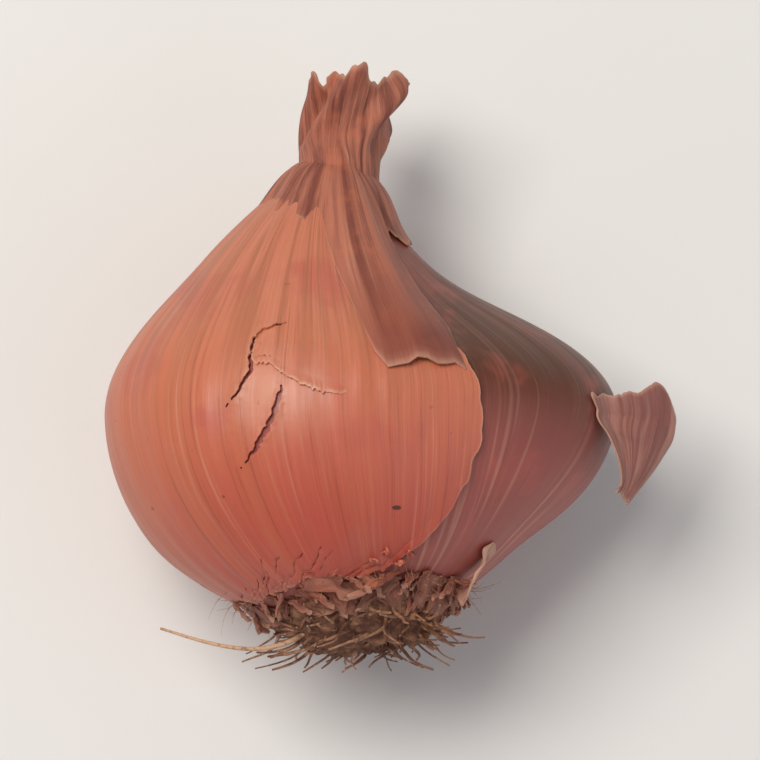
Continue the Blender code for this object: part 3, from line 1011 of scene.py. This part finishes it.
class SHALLOT_OT_flake(bpy.types.Operator):
    """Models the layer of the outer skin that ends in a torn step below the neck's tongue"""

    bl_idname = "shallot.flake"
    bl_label = "Raised flake"

    def execute(self, context):
        made = start_sheet("raised_flake", 150, 90)
        shape_sheet(made, flake_place)
        thicken(made, FLAKE_THICKNESS)
        dress(made, copper_finish(context.scene.shallot_skin), "outer_skin")
        return {"FINISHED"}


def scrap_place(across, up):
    """The scrap is held along its left side, peels off towards its right and narrows to its foot."""
    width = mix(SCRAP_NARROW, 1.0, smooth(up / SCRAP_WIDEST))
    hinge = SCRAP_HINGE - SCRAP_SLANT * smooth(1 - up)
    hinge += torn(up, 6.0, *SCRAP_HINGE_TEAR) * (1 - across)
    foot = SCRAP_FOOT + torn(across, 7.0, *SCRAP_END_TEAR)
    top = SCRAP_TOP + torn(across, 8.0, *SCRAP_END_TEAR)
    top += teeth(across, 5.0, *SCRAP_TEETH)
    free = (across - SCRAP_HELD) / (1 - SCRAP_HELD)
    lift = PAPER_GAP + SCRAP_PEEL * width * smooth(free)
    lift += SCRAP_ARCH * sin(pi * max(free, 0.0)) * width
    lift += SCRAP_TIP * smooth(1 - up / SCRAP_TIP_LENGTH)
    lift -= SCRAP_CURL * smooth((across - SCRAP_CURL_START) / SCRAP_CURL_WIDTH) * width
    lift += SCRAP_FURROWS * rough(across * 11, up * 1.2, 3.0) * smooth(free)
    around = hinge - SCRAP_SPAN * across * width
    point = bulb_point(mix(foot, top, up), around, max(lift, SCRAP_LEAST_LIFT))
    edge = rim_paleness(across, up, left=30, right=8, foot=30, top=26)
    return point, (across * 1.2, 0.0, up * 0.5), edge, False


class SHALLOT_OT_loose_skin(bpy.types.Operator):
    """Models the pale scrap of skin that peels off the small lobe"""

    bl_idname = "shallot.loose_skin"
    bl_label = "Loose skin"

    def execute(self, context):
        skin = context.scene.shallot_skin
        made = start_sheet("loose_scrap", 96, 96)
        shape_sheet(made, scrap_place)
        thicken(made, skin.thickness)
        light, dark = skin.pale_paper, skin.pale_paper_shade
        finish = paper_finish("pale_scrap", light, dark, skin, rate=34.0, warmth=0.08)
        dress(made, finish, "loose_skin", "loose_skin")
        return {"FINISHED"}


def skirt_edge(around):
    """Where the neck's skirt ends: ragged, with one tongue that hangs down in the valley."""
    edge = SKIRT_EDGE + torn(cos(around), 9.0, *SKIRT_SIDE_TEAR) + torn(sin(around), 10.0, *SKIRT_TOP_TEAR)
    tongue = min(1.0, TONGUE_BLUNTNESS * bump(around, TONGUE_PLACE, TONGUE_SPREAD))
    return edge - TONGUE_DROP * tongue


def neck_section(height, around):
    """A point of the stub in cross-section: flattened, pleated and turned further the higher it is."""
    share = height / NECK_LENGTH
    turned = around + NECK_TWIST * share
    pleats = cos(NECK_PLEATS * turned)
    pleats += FINE_PLEAT_SHARE * cos(NECK_FINE_PLEATS * turned + 1.0)
    size = (1 + NECK_FLARE * share * share) * (1 + PLEAT_DEPTH * pleats * smooth(share * PLEAT_START_RATE))
    flat = Vector((NECK_WIDTH / 2 * cos(turned), NECK_DEPTH / 2 * sin(turned)))
    return Matrix.Rotation(-NECK_TWIST * share, 2) @ flat * size


def stub_place(neck, foot, around, turn, inset, climbed, crease):
    """A point of the upright papers, which leave the collar at foot and close into the twisted stub."""
    tip = bulb_point(pi, 0.0)
    ragged = CUT_TEETH * ring_rough(around, 7, turn * 3)
    waves = RIM_UNEVENNESS * ring_rough(around, RIM_WAVES, 3.0)
    height = NECK_LENGTH * (1 + waves + ragged - INNER_SHORTER * turn) * climbed
    lumps = ring_rough(around, 2.5, turn * 1.7 + height * 260)
    crumple = 1 + neck.crumple * (lumps + CREASE_SHARE * crease)
    section = neck_section(height, around) * inset * crumple
    joined = smooth(height / (STUB_ROOTING * NECK_LENGTH))
    bent = NECK_BEND * smooth(height / NECK_LENGTH)
    return Vector((
        mix(foot.x, tip.x + section.x + bent, joined),
        mix(foot.y, tip.y, joined) + height,
        mix(foot.z, AXIS_HEIGHT + section.y, joined),
    ))


def neck_place(neck, across, up):
    """The papers go round in turns, from the skirt's edge up over the collar to the cut end. Only the
    outer turn has a skirt that shows."""
    turn = neck.turns * across
    around = NECK_START + 2 * pi * turn
    plain = atan2(sin(around), cos(around))
    inset = 1 - INNERMOST_INSET * turn / neck.turns
    shown = smooth((SKIRT_TURNS - turn) / SKIRT_FADE)
    serrated = SKIRT_TEETH[1] * ring_rough(around, SKIRT_TEETH[0], turn)
    edge = mix(HIDDEN_SKIRT_EDGE, skirt_edge(plain) + serrated, shown)
    collar = mix(NECK_COLLAR, INNERMOST_COLLAR, 1 - inset)
    standoff = mix(*SKIRT_STANDOFF, min(turn, 1.0)) * (0.55 + 0.45 * smooth(up / SKIRT_SHARE))
    standoff = max(standoff, TONGUE_STANDOFF * bump(plain, TONGUE_PLACE, TONGUE_SPREAD))
    crease = ring_rough(around, 10, turn + up * 1.5)
    if up < SKIRT_SHARE:
        back = up / SKIRT_SHARE
        lift = standoff + COLLAR_LIFT * smooth(back) + CREASE_HEIGHT * crease
        point = bulb_point(mix(edge, collar, back), around, max(lift, SKIRT_LEAST_LIFT))
    else:
        climbed = (up - SKIRT_SHARE) / (1 - SKIRT_SHARE)
        foot = bulb_point(collar, around, standoff + COLLAR_LIFT + CREASE_HEIGHT * crease)
        point = stub_place(neck, foot, around, turn, inset, climbed, crease)
    grain = (cos(around) * 1.2, sin(around) * 1.2, up * 1.4 + turn)
    return point, grain, rim_paleness(across, up, left=60, foot=60, top=22), False


class SHALLOT_OT_neck(bpy.types.Operator):
    """Models the dried leaf bases: papers rolled round each other, cut short, with a skirt below"""

    bl_idname = "shallot.neck"
    bl_label = "Dry neck"

    def execute(self, context):
        skin = context.scene.shallot_skin
        neck = context.scene.shallot_neck
        made = start_sheet("neck_papers", 320, 84)
        shape_sheet(made, lambda across, up: neck_place(neck, across, up))
        thicken(made, skin.thickness)
        light, dark = skin.paper, skin.paper_shade
        finish = paper_finish("neck_paper", light, dark, skin, rate=22.0, stained=True)
        dress(made, finish, "dry_neck", "dry_neck")
        return {"FINISHED"}


def plate_place(share, around):
    """The corky cap over the lower end, rough all over. Its inner side comes first."""
    edge = plate_edge(around)
    if share <= PLATE_INNER_SHARE:
        along = edge * share / PLATE_INNER_SHARE
        return bulb_point(along, around, PLATE_LEAST_LIFT), grain_at(along, around)
    inward = (share - PLATE_INNER_SHARE) / (1 - PLATE_INNER_SHARE)
    lumps = 1 + PLATE_ROUGHNESS * ring_rough(around, 3, 9 * inward)
    along = edge * (1 - inward)
    here = Vector((cos(around) * along * PLATE_PIT_RATE, sin(around) * along * PLATE_PIT_RATE, 0.0))
    pits = PLATE_PIT_DEPTH * noise.fractal(here, 0.8, 2.0, 4)
    lift = PLATE_THICKNESS * smooth(inward * 6) + PLATE_MOUND * smooth(inward * 1.6) * lumps
    lift += pits * smooth(inward * 5)
    return bulb_point(along, around, max(lift, PLATE_LEAST_LIFT)), grain_at(along, around)


def shares(count):
    """Even steps from 0 to 1."""
    return [step / (count - 1) for step in range(count)]


def root_line(number, roots, chance):
    """Centre line and thickness of one dry root: it leaves the plate, splays outwards and curls."""
    reach = sqrt((number + 0.5) / roots.count)
    around = number * GOLDEN_ANGLE
    spread = roots.spread - PLATE_BIAS * cos(around)
    start = bulb_point(spread * reach, around, ROOT_SINK * PLATE_MOUND)
    outward = Vector((cos(around), 0, sin(around)))
    sideways = Vector((-sin(around), 0, cos(around)))
    length = roots.length * chance.uniform(0.35, 1.25)
    splay = 0.20 + 0.75 * reach + chance.uniform(-0.2, 0.2)
    curl = chance.uniform(-0.9, 0.9)
    turn_back = chance.uniform(0.2, 0.9)
    phase = chance.uniform(0, 6.28)
    wiggle = chance.uniform(0.02, 0.07)
    thick = chance.uniform(0.6, 1.25)
    line = []
    for share in shares(13):
        away = Vector((0, -length * (share - turn_back * splay * share * share), 0))
        aside = sideways * length * (curl * share ** 2 + wiggle * sin(phase + 9 * share))
        out = outward * length * (splay * share ** 1.4 + wiggle * cos(phase + 8 * share))
        line.append((start + away + out + aside, thick * mix(1.0, 0.45, share)))
    return line


def add_tubes(name, lines, radius, sides):
    """One object of closed tubes along lines of (point, share of the radius)."""
    data = bpy.data.curves.new(name, "CURVE")
    data.dimensions = "3D"
    data.bevel_depth = radius
    data.bevel_resolution = sides
    data.use_fill_caps = True
    for line in lines:
        spline = data.splines.new("POLY")
        spline.points.add(len(line) - 1)
        for knot, (point, share) in zip(spline.points, line):
            knot.co = (*point, 1)
            knot.radius = share
    select_only(link_piece(name, data))
    bpy.ops.object.convert(target="MESH")
    bpy.ops.object.mode_set(mode="EDIT")
    bpy.ops.mesh.select_all(action="SELECT")
    bpy.ops.mesh.remove_doubles(threshold=CAP_GAP)
    bpy.ops.mesh.normals_make_consistent(inside=False)
    bpy.ops.object.mode_set(mode="OBJECT")
    return bpy.context.active_object


def add_strips(name, strips, columns, rows, thickness):
    """One object of small strips of skin, each given by its own place(across, up)."""
    shape = bmesh.new()
    grain = shape.verts.layers.float_vector.new("grain")
    edge = shape.verts.layers.float.new("edge")
    for place in strips:
        corners = []
        for row in range(rows + 1):
            for column in range(columns + 1):
                point, along_fibre, paleness = place(column / columns, row / rows)
                corner = shape.verts.new(point)
                corner[grain] = along_fibre
                corner[edge] = paleness
                corners.append(corner)
        for row in range(rows):
            for column in range(columns):
                first = row * (columns + 1) + column
                above = first + columns + 1
                shape.faces.new([corners[number] for number in (first, first + 1, above + 1, above)])
    mesh = bpy.data.meshes.new(name)
    shape.to_mesh(mesh)
    shape.free()
    made = link_piece(name, mesh)
    thicken(made, thickness)
    return made


def shred_place(along, around, length, width, heading, rise, curl, row, tone=0.0):
    """A frayed strip that starts on the bulb and bends away from it. heading 0 points at the roots,
    row picks its unevenness, and tone makes it paler all over."""
    def place(across, up):
        uneven = 0.8 + 0.9 * rough(up * 4, row, 0)
        taper = smooth(0.25 + up * 5) * (1 - up ** 3) * uneven
        sway = width * 0.6 * rough(up * 2.5, row, 7.0) * up
        aside = (across - 0.5) * width * max(taper, SHRED_TIP) + sway
        down = length * up * cos(heading)
        over = length * up * sin(heading) + aside
        here = along - down / LARGE_RADII.y
        ring = max(LARGE_RADII.y * sin(max(here, 0.12)), SHRED_LEAST_RING)
        lift = SHRED_LIFT + rise * smooth(up) + curl * (across - 0.5) * up
        lift += SHRED_CRUMPLE * rough(up * 5, across * 3, row) * smooth(up * 3)
        point = bulb_point(max(here, 0.03), around + over / ring, max(lift, SHRED_LEAST_LIFT))
        paleness = min(1.0, max(0.0, smooth(1.6 * up - 0.8) + tone))
        return point, (across * 0.5 + row, 0.0, up * 0.6), paleness
    return place


class SHALLOT_OT_roots(bpy.types.Operator):
    """Models the corky root plate, its dry roots and the frayed skin round it"""

    bl_idname = "shallot.roots"
    bl_label = "Root plate and roots"

    def execute(self, context):
        roots = context.scene.shallot_roots
        skin = context.scene.shallot_skin
        plate = start_ball("root_plate", 120, 60)
        shape_ball(plate, plate_place)
        dress(plate, cork_finish(roots), "root_tuft", "root_tuft")

        chance = random.Random(ROOT_SEED)
        lines = [root_line(number, roots, chance) for number in range(roots.count)]
        tufts = add_tubes("roots", lines, roots.radius, 1)
        dress(tufts, root_finish(roots, "dry_roots", share_pale=0.20), "root_tuft")

        chance = random.Random(SHRED_SEED)
        strips = []
        for number in range(roots.shreds):
            around = number * GOLDEN_ANGLE
            big = chance.random() ** 1.6
            strips.append(shred_place(
                along=plate_edge(around) + radians(chance.uniform(-2, 7)),
                around=around,
                length=mix(0.0018, 0.0050, big),
                width=mix(0.0006, 0.0034, big) * chance.uniform(0.6, 1.2),
                heading=chance.gauss(0.0, 0.65),
                rise=chance.uniform(0.0002, 0.0015),
                curl=chance.gauss(0.0, 0.0003),
                row=number,
                tone=0.35 * chance.random() ** 2,
            ))
        shreds = add_strips("frayed_skin", strips, 6, 14, skin.thickness)
        finish = paper_finish("frayed_paper", skin.frayed, skin.vein, skin, rate=26.0)
        dress(shreds, finish, "root_tuft")

        long_root = add_tubes("long_root", [long_root_line()], LONG_ROOT_RADIUS, 2)
        dress(long_root, root_finish(roots, "pale_roots", share_pale=0.45), "root_tuft")
        return {"FINISHED"}


def long_root_line():
    """The one long root, which curves away to the left and back up."""
    start = bulb_point(LONG_ROOT_ALONG, LONG_ROOT_AROUND, ROOT_SINK * PLATE_MOUND)
    line = []
    for share in shares(40):
        sag = LONG_ROOT_SAG * sin(LONG_ROOT_WAVE * share ** LONG_ROOT_SAG_POWER)
        rise = LONG_ROOT_RISE * sin(LONG_ROOT_WAVE * share)
        line.append((start + Vector((-LONG_ROOT_REACH * share, -sag, rise)), mix(1.0, 0.5, share)))
    return line


def fibre_line(start, heading, length, chance):
    """One fine hair that leaves a torn edge and curls."""
    aside = heading.cross(Vector((0, 0, 1))).normalized()
    curl = chance.uniform(-0.8, 0.8)
    line = []
    for share in shares(7):
        bend = aside * length * curl * share * share
        line.append((start + heading * length * share + bend, mix(1.0, 0.4, share)))
    return line


class SHALLOT_OT_torn_bits(bpy.types.Operator):
    """Models the small torn bits of skin near the roots and the fine hairs on the torn edges"""

    bl_idname = "shallot.torn_bits"
    bl_label = "Torn bits and fibres"

    def execute(self, context):
        skin = context.scene.shallot_skin
        roots = context.scene.shallot_roots
        chance = random.Random(BIT_SEED)
        strips = []
        for number, (around, along) in enumerate(ORANGE_BITS):
            strips.append(shred_place(
                along=radians(along),
                around=radians(around),
                length=chance.uniform(0.0012, 0.0022),
                width=chance.uniform(0.0006, 0.0011),
                heading=pi + chance.uniform(-0.9, 0.9),
                rise=chance.uniform(0.0006, 0.0014),
                curl=chance.uniform(-0.0006, 0.0006),
                row=number,
                tone=-0.7,
            ))
        bits = add_strips("orange_bits", strips, 6, 12, skin.thickness)
        dress(bits, paper_finish("orange_paper", skin.copper, skin.salmon, skin, rate=20.0), "root_tuft")

        around, along = CURLED_BIT
        curled = shred_place(
            along=radians(along), around=radians(around), length=0.0062, width=0.0026,
            heading=-0.10, rise=0.0011, curl=0.0016, row=3)
        curl = add_strips("curled_bit", [curled], 10, 30, skin.thickness)
        finish = paper_finish("curled_paper", skin.pale_edge, skin.pale_paper, skin, rate=20.0)
        dress(curl, finish, "outer_skin")

        chance = random.Random(FIBRE_SEED)
        lines = []
        for number in range(roots.fibres):
            around = number * GOLDEN_ANGLE
            along = plate_edge(around) + radians(chance.uniform(1, 8))
            start = bulb_point(along, around, PAPER_GAP)
            outward = (bulb_point(along, around, 0.001) - bulb_point(along, around)).normalized()
            side = Vector((cos(around), 0, sin(around)))
            heading = outward * 0.7 + side * chance.uniform(0.2, 0.8)
            heading += Vector((
                chance.uniform(-0.4, 0.4), chance.uniform(-0.2, 0.6), chance.uniform(-0.3, 0.4)))
            lines.append(fibre_line(start, heading.normalized(), chance.uniform(0.0008, 0.0026), chance))
        hairs = add_tubes("fibres", lines, roots.fibre_radius, 1)
        dress(hairs, root_finish(roots, "fibre", share_pale=0.35), "root_tuft")
        return {"FINISHED"}


class SHALLOT_OT_stage(bpy.types.Operator):
    """Makes the floor, the lights and the camera"""

    bl_idname = "shallot.stage"
    bl_label = "Stage"

    def execute(self, context):
        settings = context.scene.shallot_stage
        deselect_all()
        bpy.ops.mesh.primitive_plane_add(size=FLOOR_SIZE, location=(0, 0, 0))
        floor = context.active_object
        floor.name = "floor"
        wiring = Wiring("pale_floor")
        grainy = wiring.noise(wiring.place(), 60.0)
        colour = wiring.layers(settings.floor, (FLOOR_GRAIN, grainy, 0.3, 0.7, 0.04))
        wiring.set(base_color=colour, roughness=0.75)
        floor.data.materials.append(wiring.material)
        add_light("key", (-0.17, 0.11, 0.46), size=0.26, power=settings.key, colour=(1.0, 0.95, 0.88))
        add_light("fill", (0.34, -0.18, 0.26), size=0.40, power=settings.fill, colour=(0.93, 0.96, 1.0))
        world = context.scene.world or bpy.data.worlds.new("surroundings")
        context.scene.world = world
        world.use_nodes = True
        sky = world.node_tree.nodes["Background"]
        sky.inputs["Color"].default_value = SKY_COLOUR
        sky.inputs["Strength"].default_value = settings.sky
        context.scene.view_settings.view_transform = "Standard"
        add_camera(context.scene)
        return {"FINISHED"}


def add_light(name, place, size, power, colour):
    """A square soft light that faces the bulb."""
    bpy.ops.object.light_add(type="AREA", location=place)
    lamp = bpy.context.active_object
    lamp.name = name
    lamp.data.shape = "SQUARE"
    lamp.data.size = size
    lamp.data.energy = power
    lamp.data.color = colour
    lamp.rotation_euler = (VIEW_CENTRE - Vector(place)).to_track_quat("-Z", "Y").to_euler()


def add_camera(scene):
    """Looks down on the bulb at the photograph's viewing angle."""
    tilt = radians(VIEW_ELEVATION)
    turn = radians(VIEW_AZIMUTH)
    back = Vector((sin(turn) * cos(tilt), -cos(turn) * cos(tilt), sin(tilt)))
    bpy.ops.object.camera_add(location=VIEW_CENTRE + back * VIEW_DISTANCE)
    camera = bpy.context.active_object
    camera.name = "camera"
    camera.rotation_euler = (-back).to_track_quat("-Z", "Y").to_euler()
    camera.data.sensor_width = SENSOR * 1000
    camera.data.lens = SENSOR * 1000 * VIEW_DISTANCE / VIEW_WIDTH
    camera.data.clip_start = 0.01
    scene.camera = camera


class SHALLOT_PT_sidebar(bpy.types.Panel):
    """Lists the pieces and their settings"""

    bl_label = "Shallot"
    bl_idname = "SHALLOT_PT_sidebar"
    bl_space_type = "VIEW_3D"
    bl_region_type = "UI"
    bl_category = "Shallot"

    def draw(self, context):
        for operator in PIECES:
            self.layout.operator(operator.bl_idname)
        for name, kind in SETTINGS:
            box = self.layout.box()
            box.label(text=kind.__doc__)
            for key in kind.__annotations__:
                box.prop(getattr(context.scene, name), key)


PIECES = (
    SHALLOT_OT_bulb,
    SHALLOT_OT_outer_skin,
    SHALLOT_OT_flake,
    SHALLOT_OT_loose_skin,
    SHALLOT_OT_neck,
    SHALLOT_OT_roots,
    SHALLOT_OT_torn_bits,
    SHALLOT_OT_stage,
)
SETTINGS = (
    ("shallot_skin", SkinSettings),
    ("shallot_neck", NeckSettings),
    ("shallot_roots", RootSettings),
    ("shallot_stage", StageSettings),
)


def register():
    for name, kind in SETTINGS:
        bpy.utils.register_class(kind)
        setattr(bpy.types.Scene, name, PointerProperty(type=kind))
    for kind in (*PIECES, SHALLOT_PT_sidebar):
        bpy.utils.register_class(kind)


def unregister():
    for kind in (SHALLOT_PT_sidebar, *reversed(PIECES)):
        bpy.utils.unregister_class(kind)
    for name, kind in reversed(SETTINGS):
        delattr(bpy.types.Scene, name)
        bpy.utils.unregister_class(kind)


def main():
    register()
    bpy.ops.shallot.bulb()
    bpy.ops.shallot.outer_skin()
    bpy.ops.shallot.flake()
    bpy.ops.shallot.loose_skin()
    bpy.ops.shallot.neck()
    bpy.ops.shallot.roots()
    bpy.ops.shallot.torn_bits()
    bpy.ops.shallot.stage()


if __name__ == "__main__":
    main()
